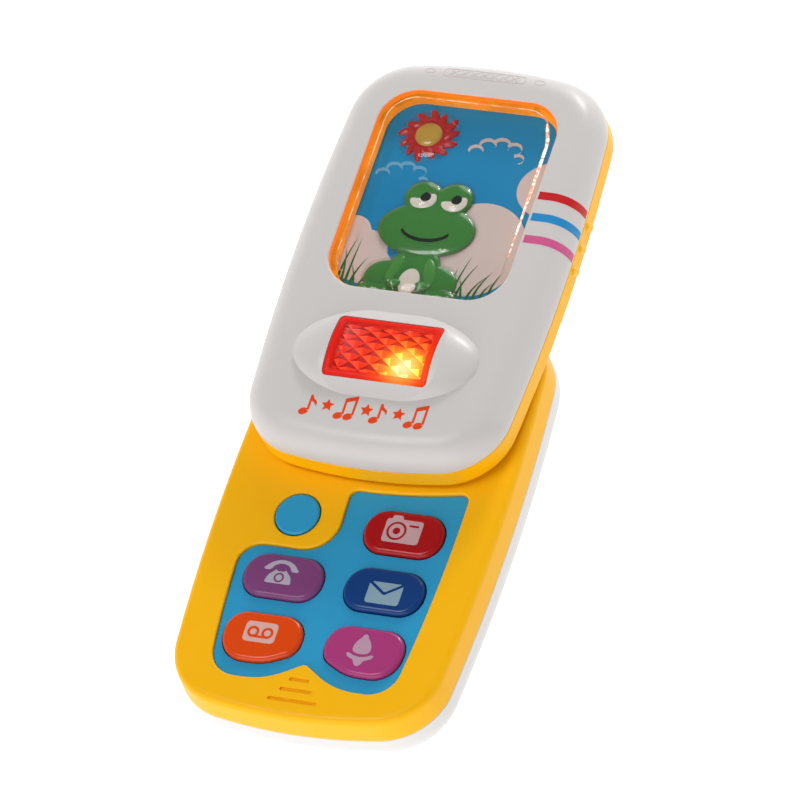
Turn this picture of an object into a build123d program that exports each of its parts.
from build123d import *
import math
import os

# Toy slide phone, millimetres.
# Origin: centre of the flat back of the base. +Z up out of the keypad, +Y towards the screen end, +X right.
# The slide is modelled over the base (closed) and then moved along +Y by OPEN_TRAVEL, its rest place.

# ---- driving dimensions -------------------------------------------------------------------------
BASE_W, BASE_L = 70.0, 111.2
SLIDE_W, SLIDE_L = 67.0, 108.0
SIDE_BOW_R = 500.0        # plan radius of the gently bowed long sides
END_BOW_R = 125.0         # plan radius of the bowed short ends
CORNER_R = 15.8
OPEN_TRAVEL = 60.3        # closed to open

BACK_H = 10.0             # white back cover, from the table to the split line
BASE_TOP = 17.5           # yellow face of the base
SLIDE_GAP = 0.8           # air between the base and the slide
FRAME_H = 5.7             # yellow frame of the slide
COVER_H = 7.3             # white top cover of the slide
WALL = 1.8                # side walls
SKIN = 2.0                # top skin of the base
COVER_SKIN = 1.7          # top skin of the slide
FLOOR = 2.2               # floor of the back cover
DRAFT = 4.5               # draft of the front cover's side walls, degrees
SPLIT_EDGE_R = 0.3        # small round on both sides of each parting line

SLIDE_Z0 = BASE_TOP + SLIDE_GAP
SLIDE_Z1 = SLIDE_Z0 + FRAME_H
SLIDE_Z2 = SLIDE_Z1 + COVER_H

# keypad
PANEL_RECESS = 0.9
PANEL_EDGE_R = 0.4        # rounded edge of the openings for the panel and the round key
KEY_W, KEY_H, KEY_R = 19.5, 11.2, 5.3
KEY_X = 12.5              # columns of keys, either side of the middle
KEY_ROW_Y = (-5.0, -20.1)
LOW_KEY_TOP, LOW_KEY_BOTTOM = -29.8, -42.3
KEY_TOP_Z = 17.8
KEY_TRAVEL = 1.2
KEY_GAP = 0.25
ROUND_KEY_AT = (-14.2, -3.9)
ROUND_KEY_R = 5.3
PCB_Z0, PCB_Z1 = 9.3, 10.9
MEMBRANE_T = 0.5
FLANGE_Z0, FLANGE_Z1 = 13.0, 14.1

# slide face
WINDOW_W, WINDOW_H, WINDOW_R = 44.8, 54.0, 9.0
WINDOW_Y = 16.2
WINDOW_BORDER = 1.9
WINDOW_EDGE_R = 0.45      # rounded rim of the opening
RING_REACH = 0.8          # how far the light ring shows inside the opening
CARD_TOP, CARD_T = 26.5, 0.6
LENS_W, LENS_H, LENS_R = 26.0, 16.0, 1.2
LENS_Y = -27.9
LENS_TOP = 3.5            # middle of the lens above the face
LENS_BOW_R = 20.0         # the lens is a shallow barrel along X
DOME_RX, DOME_RY = 23.0, 11.9
DOME_BALL = 6.0           # half height of the squashed ball that closes the swelling's ends
DOME_SUNK = 1.2           # how far that ball's middle lies under the face

# screw posts
BASE_POSTS = [(x, y) for x in (-28.0, 28.0) for y in (-38.0, 38.0)]
SLIDE_POSTS = [(x, y) for x in (-28.2, 28.2) for y in (-35.0, 35.0)]

# sliding rail
RAIL_X = 14.0
RAIL_Y0, RAIL_Y1 = 14.0, 50.0
RAIL_STEM_W, RAIL_HEAD_W, RAIL_FOOT_W = 3.8, 8.4, 9.0
RAIL_END_GAP = 0.25

# battery bay
CELL_R, CELL_L, CELL_NUB = 5.15, 43.5, 1.0
CELL_X, CELL_Z = 5.7, 7.3
BAY_W, BAY_Y0, BAY_Y1 = 24.4, 0.6, 48.6
DOOR_W, DOOR_T = 26.0, 1.6
DOOR_Y0, DOOR_Y1 = -6.4, 49.0

# speaker
SPEAKER_AT = (0.0, -26.0)
SPEAKER_R = 13.5


# ---- helpers ------------------------------------------------------------------------------------
def slab(sketch, z0, z1, taper=0.0):
    """The sketch made solid between two heights."""
    return Pos(0, 0, z0) * extrude(sketch, z1 - z0, taper=taper)


def barrel(half_w, half_l, corner_r):
    """Plan outline with bowed sides and ends and round corners."""
    inset = BASE_W / 2 - half_w
    side_r, end_r = SIDE_BOW_R - inset, END_BOW_R - inset
    shape = Pos(half_w - side_r, 0) * Circle(side_r)
    shape &= Pos(side_r - half_w, 0) * Circle(side_r)
    shape &= Pos(0, half_l - end_r) * Circle(end_r)
    shape &= Pos(0, end_r - half_l) * Circle(end_r)
    corners = [v for v in shape.vertices() if abs(v.Y) > half_l / 2 and abs(v.X) > half_w / 2]
    return fillet(corners, corner_r)


def base_plan(inset=0.0):
    return barrel(BASE_W / 2 - inset, BASE_L / 2 - inset, CORNER_R - inset)


def slide_plan(inset=0.0):
    return barrel(SLIDE_W / 2 - inset, SLIDE_L / 2 - inset, CORNER_R - inset)


def rounded_polygon(corners):
    """Closed outline from (x, y, radius) corners, each rounded by its own radius."""
    face = make_face(Polyline(*[(x, y) for x, y, _ in corners], close=True))
    for x, y, r in corners:
        if r > 0:
            near = face.vertices().sort_by_distance((x, y, 0))[0]
            face = fillet(near, r)
    return face


def grown(sketch, amount):
    return offset(sketch, amount, kind=Kind.ARC)


def top_edges(part):
    return part.faces().sort_by(Axis.Z)[-1].edges()


def bottom_edges(part):
    return part.faces().sort_by(Axis.Z)[0].edges()


def tube_z(r, z0, z1, at):
    return Pos(at[0], at[1], z0) * extrude(Circle(r), z1 - z0)


def save(part, name):
    solids = part.solids()
    whole = solids[0] if len(solids) == 1 else Compound(children=list(solids))
    export_step(whole, f"parts/{name}.step")


def save_on_slide(part, name):
    save(Pos(0, OPEN_TRAVEL, 0) * part, name)


# ---- keypad outlines ----------------------------------------------------------------------------
def panel_plan():
    """Blue panel: follows the sides, two lobes at the bottom, and a corner left for the round key."""
    side = 25.1
    bottom, low_x = -46.4, 22.3
    notch, lobe_x = -41.1, 8.6
    step_y, top_y = -12.3, 7.5
    right = ThreePointArc((side, top_y), (side - 0.35, -18), (low_x, bottom))
    low = Polyline((low_x, bottom), (lobe_x, bottom), (0, notch), (-lobe_x, bottom), (-low_x, bottom))
    left = ThreePointArc((-low_x, bottom), (0.45 - side, -25), (-side, step_y))
    step = Polyline((-side, step_y), (-2.9, step_y), (-3.6, 4.6))
    top = ThreePointArc((-3.6, 4.6), (12, 5.3), (side, top_y))
    face = make_face([right, low, left, step, top])
    rounds = [
        (side, top_y, 2.0), (low_x, bottom, 7.0), (lobe_x, bottom, 18.0), (0, notch, 1.5),
        (-lobe_x, bottom, 18.0), (-low_x, bottom, 7.0), (-side, step_y, 5.5),
        (-2.9, step_y, 8.0), (-3.6, 4.6, 2.2),
    ]
    for x, y, r in rounds:
        face = fillet(face.vertices().sort_by_distance((x, y, 0))[0], r)
    return face


def low_key_plan(side):
    """Lower keys: straight top, bowed bottom that follows the panel's lobe."""
    corners = [
        (2.9, LOW_KEY_TOP, 5.2), (22.3, LOW_KEY_TOP, 5.2), (21.9, LOW_KEY_BOTTOM, 6.4),
        (10.2, LOW_KEY_BOTTOM, 13.0), (2.9, -38.7, 4.4),
    ]
    face = rounded_polygon(corners)
    return face if side > 0 else mirror(face, about=Plane.YZ)


def oval_key_plan(x, y):
    return Pos(x, y) * RectangleRounded(KEY_W, KEY_H, KEY_R)


KEYS = {
    "camera_key": oval_key_plan(KEY_X, KEY_ROW_Y[0]),
    "envelope_key": oval_key_plan(KEY_X, KEY_ROW_Y[1]),
    "telephone_key": oval_key_plan(-KEY_X, KEY_ROW_Y[1]),
    "bell_key": low_key_plan(1),
    "recorder_key": low_key_plan(-1),
}
DOMES = {
    "camera_key": (KEY_X, KEY_ROW_Y[0]),
    "envelope_key": (KEY_X, KEY_ROW_Y[1]),
    "telephone_key": (-KEY_X, KEY_ROW_Y[1]),
    "bell_key": (KEY_X, -35.9),
    "recorder_key": (-KEY_X, -35.9),
    "round_key": ROUND_KEY_AT,
}


# ---- base ---------------------------------------------------------------------------------------
def base_front_cover():
    outer = slab(base_plan(), BACK_H, BASE_TOP, taper=DRAFT)
    outer = fillet(top_edges(outer), 1.8)
    outer = fillet(bottom_edges(outer), SPLIT_EDGE_R)
    inner = slab(base_plan(WALL), BACK_H, BASE_TOP - SKIN, taper=DRAFT)
    body = outer - inner
    for at in BASE_POSTS:
        body += tube_z(3.0, BACK_H, BASE_TOP - SKIN, at)
        body -= tube_z(1.15, BACK_H, BASE_TOP - SKIN - 1.0, at)
    body -= slab(panel_plan(), BASE_TOP - SKIN, BASE_TOP)
    body -= tube_z(ROUND_KEY_R + KEY_GAP, BASE_TOP - SKIN, BASE_TOP, ROUND_KEY_AT)
    rims = body.edges().filter_by_position(Axis.Z, BASE_TOP - 0.01, BASE_TOP + 0.01)
    inner_x, inner_y = BASE_W / 2 - 6, BASE_L / 2 - 5
    rims = [e for e in rims if abs(e.center().X) < inner_x and abs(e.center().Y) < inner_y]
    body = fillet(rims, PANEL_EDGE_R)
    for sx in (-1, 1):
        slot = Pos(sx * RAIL_X, (RAIL_Y0 + RAIL_Y1) / 2)
        slot *= Rectangle(RAIL_STEM_W + 0.1, RAIL_Y1 - RAIL_Y0 + 0.1)
        body -= slab(slot, BASE_TOP - SKIN, BASE_TOP)
    groove_depth, groove_w = 0.5, 0.9
    for y, half in ((-45.4, 2.5), (-48.1, 4.0), (-50.8, 6.1)):
        groove = Pos(0, y) * SlotOverall(2 * half, groove_w)
        body -= slab(groove, BASE_TOP - groove_depth, BASE_TOP)
    return body


def base_back_cover():
    outer = slab(base_plan(), 0, BACK_H)
    outer = fillet(bottom_edges(outer), 6.9)
    outer = fillet(top_edges(outer), SPLIT_EDGE_R)
    inner = slab(base_plan(WALL), FLOOR, BACK_H)
    inner = fillet(bottom_edges(inner), 5.2)
    body = outer - inner
    for at in BASE_POSTS:
        body += tube_z(4.0, FLOOR - 0.2, BACK_H, at) & outer
        body -= tube_z(2.7, 0, 5.0, at)
        body -= tube_z(1.25, 5.0, BACK_H, at)
    for x in (-19.0, 19.0):
        for y in (-43.0, -5.5):
            body += tube_z(1.6, FLOOR - 0.2, PCB_Z0, (x, y))
    bay_mid = (BAY_Y0 + BAY_Y1) / 2
    bay_wall, bay_end, bay_top = 1.9, 0.8, 11.2
    ring = Pos(0, bay_mid) * Rectangle(BAY_W + 2 * bay_wall, BAY_Y1 - BAY_Y0 + 2 * bay_end)
    ring -= Pos(0, bay_mid) * Rectangle(BAY_W, BAY_Y1 - BAY_Y0)
    body += slab(ring, FLOOR - 0.5, bay_top)
    door_gap = 0.15
    door_hole = Pos(0, (DOOR_Y0 + DOOR_Y1) / 2)
    door_hole *= Rectangle(DOOR_W + 2 * door_gap, DOOR_Y1 - DOOR_Y0 + 2 * door_gap)
    body -= slab(door_hole, 0, DOOR_T + 0.1)
    body -= slab(Pos(0, bay_mid) * Rectangle(BAY_W, BAY_Y1 - BAY_Y0), 0, FLOOR)
    body += tube_z(2.6, DOOR_T + 0.1, 8.0, (0, DOOR_Y0 + 3.4))
    body -= tube_z(1.0, DOOR_T, 7.0, (0, DOOR_Y0 + 3.4))
    for k in range(-3, 4):
        length = 2 * math.sqrt((SPEAKER_R - 3.5) ** 2 - (2.6 * k) ** 2)
        hole = Pos(SPEAKER_AT[0], SPEAKER_AT[1] + 2.6 * k) * SlotOverall(length, 1.3)
        body -= slab(hole, 0, FLOOR)
    for side in (-1, 1):
        clip = Pos(SPEAKER_AT[0] + side * (SPEAKER_R + 2.0), SPEAKER_AT[1]) * Rectangle(1.4, 6.0)
        body += slab(clip, FLOOR - 0.2, 6.0)
    return body


def keypad_panel():
    plan = panel_plan()
    body = slab(grown(plan, 1.2), BASE_TOP - SKIN - 1.2, BASE_TOP - SKIN)
    raised = slab(grown(plan, -0.12), BASE_TOP - SKIN, BASE_TOP - PANEL_RECESS)
    body += raised
    for plan in KEYS.values():
        body -= slab(grown(plan, KEY_GAP), FLANGE_Z1, BASE_TOP)
    return body


def key(plan, top_z, edge):
    cap = fillet(top_edges(slab(plan, FLANGE_Z0, top_z)), edge)
    return cap + slab(grown(plan, 0.9), FLANGE_Z0, FLANGE_Z1)


def dome(at):
    """Hollow rubber dome under a key."""
    z0 = PCB_Z1 + MEMBRANE_T
    height = FLANGE_Z0 - z0
    outer = Pos(at[0], at[1], z0 + height / 2) * Cone(3.6, 2.4, height)
    inner = Pos(at[0], at[1], z0 + (height - 0.6) / 2) * Cone(3.0, 1.9, height - 0.6)
    return outer - inner


def build_base():
    save(base_front_cover(), "base_front_cover")
    save(base_back_cover(), "base_back_cover")
    save(keypad_panel(), "keypad_panel")
    for name, plan in KEYS.items():
        save(key(plan, KEY_TOP_Z, 1.1), name)
    round_plan = Pos(*ROUND_KEY_AT) * Circle(ROUND_KEY_R)
    save(key(round_plan, KEY_TOP_Z, 0.5), "round_key")
    for name, at in DOMES.items():
        save(dome(at), name + "_dome")

    board_mid = (0, -23.7)
    board = Pos(*board_mid) * RectangleRounded(45, 45.6, 2)
    save(slab(board, PCB_Z1, PCB_Z1 + MEMBRANE_T), "keypad_membrane")
    save(slab(board, PCB_Z0, PCB_Z1), "main_circuit_board")
    chip_h = 1.1
    blob = slab(Pos(-16, -14) * Circle(3.6), PCB_Z0 - chip_h, PCB_Z0)
    save(fillet(bottom_edges(blob), 1.0), "sound_chip")
    build_speaker()
    build_power()
    build_case_screws()


def build_speaker():
    z0, z1, magnet_z = FLOOR, 6.2, 8.6
    cup = tube_z(SPEAKER_R, z0, z1, SPEAKER_AT)
    cup -= tube_z(SPEAKER_R - 1.0, z0, z1 - 0.8, SPEAKER_AT)
    cup -= tube_z(6.2, z1 - 0.8, z1, SPEAKER_AT)
    save(cup, "speaker_frame")
    save(tube_z(6.1, z1 - 1.6, magnet_z, SPEAKER_AT), "speaker_magnet")
    at = Pos(SPEAKER_AT[0], SPEAKER_AT[1], z0 + 1.15)
    cone = at * Cone(SPEAKER_R - 1.2, 4.0, 1.9)
    cone -= Pos(0, 0, -0.35) * at * Cone(SPEAKER_R - 1.2, 4.0, 1.9)
    save(cone, "speaker_cone")


def build_power():
    cell_y0 = BAY_Y0 + 2.6
    for name, x, flip in (("battery_left", -CELL_X, False), ("battery_right", CELL_X, True)):
        body = fillet(extrude(Circle(CELL_R), CELL_L).edges(), 0.4)
        body += Pos(0, 0, CELL_L) * extrude(Circle(1.9), CELL_NUB)
        if flip:
            body = Pos(0, 0, CELL_L + CELL_NUB) * Rot(180, 0, 0) * body
        save(Pos(x, cell_y0, CELL_Z) * Rot(-90, 0, 0) * body, name)
    spring = Helix(pitch=0.75, height=1.5, radius=3.4, cone_angle=-20)
    wire = Plane(origin=spring @ 0, z_dir=spring % 0) * Circle(0.25)
    coil = sweep(wire, path=spring)
    coils = [Pos(x, BAY_Y0 + 0.75, CELL_Z) * Rot(-90, 0, 0) * coil for x in (-CELL_X, CELL_X)]
    export_step(Compound(children=[c.solids()[0] for c in coils]), "parts/battery_springs.step")
    plate = Box(22.4, 0.4, 8.0)
    save(Pos(0, BAY_Y0 + 0.25, CELL_Z) * plate, "battery_spring_plate")
    save(Pos(0, cell_y0 + CELL_L + CELL_NUB + 0.25, CELL_Z) * plate, "battery_contact_plate")

    door = Pos(0, (DOOR_Y0 + DOOR_Y1) / 2) * Rectangle(DOOR_W, DOOR_Y1 - DOOR_Y0)
    door_solid = fillet(slab(door, 0, DOOR_T).edges().filter_by(Axis.Z), 0.1)
    screw_at = (0, DOOR_Y0 + 3.4)
    door_solid -= tube_z(2.2, 0, 0.8, screw_at)
    door_solid -= tube_z(1.1, 0.8, DOOR_T, screw_at)
    save(door_solid, "battery_door")
    save(screw(screw_at, 0.2, 1.9, 0.6, 0.9, 5.6), "battery_door_screw")


def screw(at, z0, head_r, head_h, shank_r, shank_l):
    """Pan-head cross screw, head down."""
    body = tube_z(head_r, z0, z0 + head_h, at)
    body += tube_z(shank_r, z0 + head_h, z0 + head_h + shank_l, at)
    arm, depth = head_r * 1.2, head_h / 2
    cross = Rectangle(arm, 0.4) + Rectangle(0.4, arm)
    return body - slab(Pos(*at) * cross, z0, z0 + depth)


def build_case_screws():
    group = [screw(at, 3.5, 2.4, 1.5, 1.1, 9.0).solids()[0] for at in BASE_POSTS]
    export_step(Compound(children=group), "parts/case_screws.step")


# ---- sliding rail -------------------------------------------------------------------------------
FRAME_FLOOR = 1.8
KEEPER_Z0 = SLIDE_Z0 + FRAME_FLOOR + 0.2
KEEPER_T = 1.2
KEEPER_SCREW_Y = (RAIL_Y0 + 5, RAIL_Y1 - 5)


def build_rail():
    mid, length = (RAIL_Y0 + RAIL_Y1) / 2, RAIL_Y1 - RAIL_Y0
    foot_z = BASE_TOP - SKIN
    screws = []
    for name, x in (("left", -RAIL_X), ("right", RAIL_X)):
        runner = slab(Pos(x, mid) * Rectangle(RAIL_FOOT_W, length), foot_z - 1.6, foot_z)
        runner += slab(Pos(x, mid) * Rectangle(RAIL_STEM_W, length), foot_z, KEEPER_Z0)
        head = Pos(x, mid) * RectangleRounded(RAIL_HEAD_W, length, 1.5)
        keeper = slab(head, KEEPER_Z0, KEEPER_Z0 + KEEPER_T)
        for y in KEEPER_SCREW_Y:
            runner -= tube_z(0.9, foot_z, KEEPER_Z0, (x, y))
            keeper -= tube_z(1.0, KEEPER_Z0, KEEPER_Z0 + KEEPER_T, (x, y))
            upright = screw((0, 0), 0, 1.8, 0.6, 0.8, 4.5)
            screws.append((Pos(x, y, KEEPER_Z0 + KEEPER_T + 0.6) * Rot(180, 0, 0) * upright).solids()[0])
        save(runner, f"slide_runner_{name}")
        save(keeper, f"rail_keeper_{name}")
    export_step(Compound(children=screws), "parts/rail_screws.step")


# ---- slide --------------------------------------------------------------------------------------
def window_plan(inset=0.0):
    plan = RectangleRounded(WINDOW_W - 2 * inset, WINDOW_H - 2 * inset, WINDOW_R - inset)
    return Pos(0, WINDOW_Y) * plan


def lens_barrel(inset=0.0):
    """Cylinder along X whose top is the bowed surface that the red lens and the swelling share."""
    axis_z = SLIDE_Z2 + LENS_TOP - LENS_BOW_R
    return Pos(0, LENS_Y, axis_z) * Rot(0, 90, 0) * Cylinder(LENS_BOW_R - inset, 3 * DOME_RX)


def dome_cap(inset=0.0, below=0.0):
    """Oval swelling around the red lens: the barrel closed by a squashed ball, cut flat under the face."""
    spread = math.sqrt(1 - (DOME_SUNK / DOME_BALL) ** 2)
    size = (DOME_RX / spread - inset, DOME_RY / spread - inset, DOME_BALL - inset)
    ball = Pos(0, LENS_Y, SLIDE_Z2 - DOME_SUNK) * scale(Sphere(1), by=size)
    above = Pos(0, LENS_Y, SLIDE_Z2 - below + DOME_BALL) * Box(4 * DOME_RX, 4 * DOME_RY, 2 * DOME_BALL)
    return ball & lens_barrel(inset) & above


def lens_plan(grow=0.0):
    return Pos(0, LENS_Y) * RectangleRounded(LENS_W + 2 * grow, LENS_H + 2 * grow, max(LENS_R + grow, 0.3))


def window_rim(body):
    """The edges where the window's opening meets the face."""
    found = []
    for edge in body.edges().filter_by_position(Axis.Z, SLIDE_Z2 - 0.01, SLIDE_Z2 + 0.01):
        at = edge.center()
        if abs(at.X) < WINDOW_W / 2 + 0.1 and abs(at.Y - WINDOW_Y) < WINDOW_H / 2 + 0.1:
            found.append(edge)
    return found


def slide_top_cover():
    outer = slab(slide_plan(), SLIDE_Z1, SLIDE_Z2)
    outer = fillet(top_edges(outer), COVER_H - SPLIT_EDGE_R - 0.1)
    outer = fillet(bottom_edges(outer), SPLIT_EDGE_R)
    inner = slab(slide_plan(WALL), SLIDE_Z1, SLIDE_Z2 - COVER_SKIN)
    inner = fillet(top_edges(inner), COVER_H - COVER_SKIN - 0.2)
    body = outer - inner - slab(window_plan(), SLIDE_Z1, SLIDE_Z2)
    body = fillet(window_rim(body), WINDOW_EDGE_R)
    lens_wall = 1.7
    body += dome_cap()
    kept = slab(lens_plan(lens_wall), SLIDE_Z1, SLIDE_Z2 + DOME_BALL)
    body -= dome_cap(COVER_SKIN, COVER_SKIN + 0.1) - kept
    body -= slab(lens_plan(), SLIDE_Z1, SLIDE_Z2 + DOME_BALL)
    for at in SLIDE_POSTS:
        body += tube_z(2.5, SLIDE_Z1, SLIDE_Z2 - COVER_SKIN, at) & outer
        body -= tube_z(1.0, SLIDE_Z1, SLIDE_Z1 + 2.8, at)
    return body


def grip_rib(side, y):
    """Small slanted thumb rib: a capsule sunk in the frame's side wall."""
    r, straight, proud, lean = 1.6, 2.3, 0.5, 30
    x = SLIDE_W / 2 - SIDE_BOW_R + math.sqrt(SIDE_BOW_R ** 2 - y ** 2)
    rib = Cylinder(r, straight)
    for end in (-straight / 2, straight / 2):
        rib += Pos(0, 0, end) * Sphere(r)
    mid_z = (SLIDE_Z0 + SLIDE_Z1) / 2 + 0.1
    rib = Pos(x + proud - r, y, mid_z) * Rot(lean, 0, 0) * rib
    rib &= Pos(x, y, mid_z) * Box(2.0, 8.0, 8.0)
    return rib if side > 0 else mirror(rib, about=Plane.YZ)


def slide_bottom_frame():
    outer = slab(slide_plan(), SLIDE_Z0, SLIDE_Z1)
    outer = fillet(bottom_edges(outer), 1.2)
    outer = fillet(top_edges(outer), SPLIT_EDGE_R)
    body = outer - slab(slide_plan(WALL), SLIDE_Z0 + FRAME_FLOOR, SLIDE_Z1)
    y0, y1 = RAIL_Y0 - OPEN_TRAVEL - RAIL_END_GAP, RAIL_Y1 + RAIL_END_GAP
    for x in (-RAIL_X, RAIL_X):
        slot = Pos(x, (y0 + y1) / 2) * Rectangle(RAIL_STEM_W + 0.5, y1 - y0)
        body -= slab(slot, SLIDE_Z0, SLIDE_Z0 + FRAME_FLOOR)
    for at in SLIDE_POSTS:
        body += tube_z(3.2, SLIDE_Z0, SLIDE_Z1, at)
        body -= tube_z(2.3, SLIDE_Z0, SLIDE_Z0 + 2.0, at)
        body -= tube_z(1.05, SLIDE_Z0 + 2.0, SLIDE_Z1, at)
    for side in (-1, 1):
        for y in (5.8, 11.8, 17.8):
            body += grip_rib(side, y)
    return body


def window_lens(flange_z0, flange_z1):
    """Clear window: flange under the cover, raised border, recessed middle."""
    flange, fit, border_drop, step = 1.5, 0.1, 0.15, 0.85
    lens = slab(window_plan(-flange), flange_z0, flange_z1)
    lens += slab(window_plan(fit), flange_z0, SLIDE_Z2 - border_drop)
    return lens - slab(window_plan(WINDOW_BORDER), SLIDE_Z2 - border_drop - step, SLIDE_Z2)


def red_lens(flange_z0, flange_z1):
    """Red lens: flange under the cover and a hollow block with the bowed top."""
    flange, fit, wall = 1.3, -0.15, 1.6
    block = slab(lens_plan(fit), flange_z1, SLIDE_Z2 + DOME_BALL) & lens_barrel()
    hollow = slab(lens_plan(fit - wall), flange_z0, SLIDE_Z2 + DOME_BALL) & lens_barrel(wall)
    return slab(lens_plan(flange), flange_z0, flange_z1) + block - hollow


def led(at, board_top):
    """Five millimetre LED with a domed top."""
    body = tube_z(2.9, board_top, board_top + 0.8, at) + tube_z(2.5, board_top, board_top + 3.8, at)
    return fillet(top_edges(body), 2.2)


def build_slide():
    save_on_slide(slide_top_cover(), "slide_top_cover")
    save_on_slide(slide_bottom_frame(), "slide_bottom_frame")

    skin_z = SLIDE_Z2 - COVER_SKIN
    flange_z0, flange_z1 = skin_z - 1.4, skin_z - 0.05
    save_on_slide(window_lens(flange_z0, flange_z1), "window_lens")
    save_on_slide(red_lens(flange_z0, flange_z1), "red_lens")
    ring = slab(window_plan(-2.4) - window_plan(RING_REACH), CARD_TOP, flange_z0)
    save_on_slide(ring, "window_light_ring")
    save_on_slide(slab(window_plan(-2.2), CARD_TOP - CARD_T, CARD_TOP), "picture_card")

    board_z0, board_z1 = SLIDE_Z0 + 4.0, SLIDE_Z0 + 5.2
    board = slab(Pos(0, -27.5) * RectangleRounded(40, 26, 1.5), board_z0, board_z1)
    save_on_slide(board, "display_circuit_board")
    save_on_slide(led((4.6, -30.0), board_z1), "flash_led")
    save_on_slide(led((0, -17.8), board_z1), "window_led")
    group = []
    for at in SLIDE_POSTS:
        fastener = screw(at, SLIDE_Z0 + 0.8, 2.0, 1.2, 0.9, 6.2)
        group.append((Pos(0, OPEN_TRAVEL, 0) * fastener).solids()[0])
    export_step(Compound(children=group), "parts/slide_screws.step")


os.makedirs("parts", exist_ok=True)
build_base()
build_rail()
build_slide()
